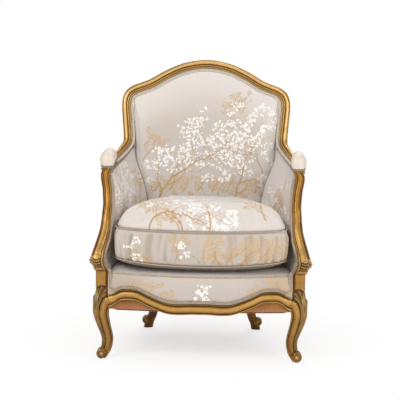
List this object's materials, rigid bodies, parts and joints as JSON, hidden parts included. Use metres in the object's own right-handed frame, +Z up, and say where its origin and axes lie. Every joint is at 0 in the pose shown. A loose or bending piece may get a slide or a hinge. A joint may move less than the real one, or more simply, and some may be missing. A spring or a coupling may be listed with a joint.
{
  "type": "bergere chair",
  "caption": "Closed armchair with a carved gilt wood frame, padded back and arms, small arm pads, a sprung seat and a loose box cushion.",
  "frame": {"origin": "on the floor, under the middle of the box round the whole chair", "axes": "+X to the right of someone looking at the front of the chair, +Y towards its back, +Z up; the front faces -Y"},
  "size_m": [0.7252, 0.7492, 1.032],
  "materials": {
    "gilt": "worn gilt over carved beech",
    "beech": "plain, unpolished",
    "brocade": "silver-cream satin woven with white blossom and gold branches",
    "satin": "plain cream satin",
    "braid": "woven taupe braid",
    "steel": "plain wire",
    "canvas": "jute webbing and canvas"
  },
  "bodies": {
    "frame": {"crest_rail": "gilt", "front_seat_rail": "gilt", "back_seat_rail": "gilt", "back_stay_rail": "beech", "web_long_1": "canvas", "web_long_2": "canvas", "web_long_3": "canvas", "web_cross_1": "canvas", "web_cross_2": "canvas", "spring_canvas": "canvas", "seat_deck": "satin", "seat_front_border": "brocade", "seat_border_welt": "brocade", "gimp_seat_front": "braid", "inside_back_pad": "brocade", "gimp_back": "braid", "outside_back_cover": "brocade", "bottom_cloth": "canvas", "seat_spring_1": "steel", "seat_spring_2": "steel", "seat_spring_3": "steel", "seat_spring_4": "steel", "seat_spring_5": "steel", "seat_spring_6": "steel", "front_leg_right": "gilt", "front_leg_left": "gilt", "back_post_right": "gilt", "back_post_left": "gilt", "arm_stump_right": "gilt", "arm_stump_left": "gilt", "arm_rail_right": "gilt", "arm_rail_left": "gilt", "side_seat_rail_right": "gilt", "side_seat_rail_left": "gilt", "side_stay_rail_right": "beech", "side_stay_rail_left": "beech", "corner_block_front_right": "beech", "corner_block_front_left": "beech", "corner_block_back_right": "beech", "corner_block_back_left": "beech", "crest_peg_right": "beech", "crest_peg_left": "beech", "inside_arm_pad_right": "brocade", "inside_arm_pad_left": "brocade", "outside_arm_cover_right": "brocade", "outside_arm_cover_left": "brocade", "arm_pad_right": "satin", "arm_pad_left": "satin", "gimp_stump_right": "braid", "gimp_stump_left": "braid", "gimp_arm_pad_right": "braid", "gimp_arm_pad_left": "braid"},
    "cushion": {"seat_cushion": "brocade", "cushion_welt_top": "brocade", "cushion_welt_bottom": "brocade"}
  },
  "joints": [
    {"name": "cushion_lift", "type": "slide", "parent": "frame", "child": "cushion", "axis": [0, 0, 1], "range_m": [0, 0.33]}
  ]
}
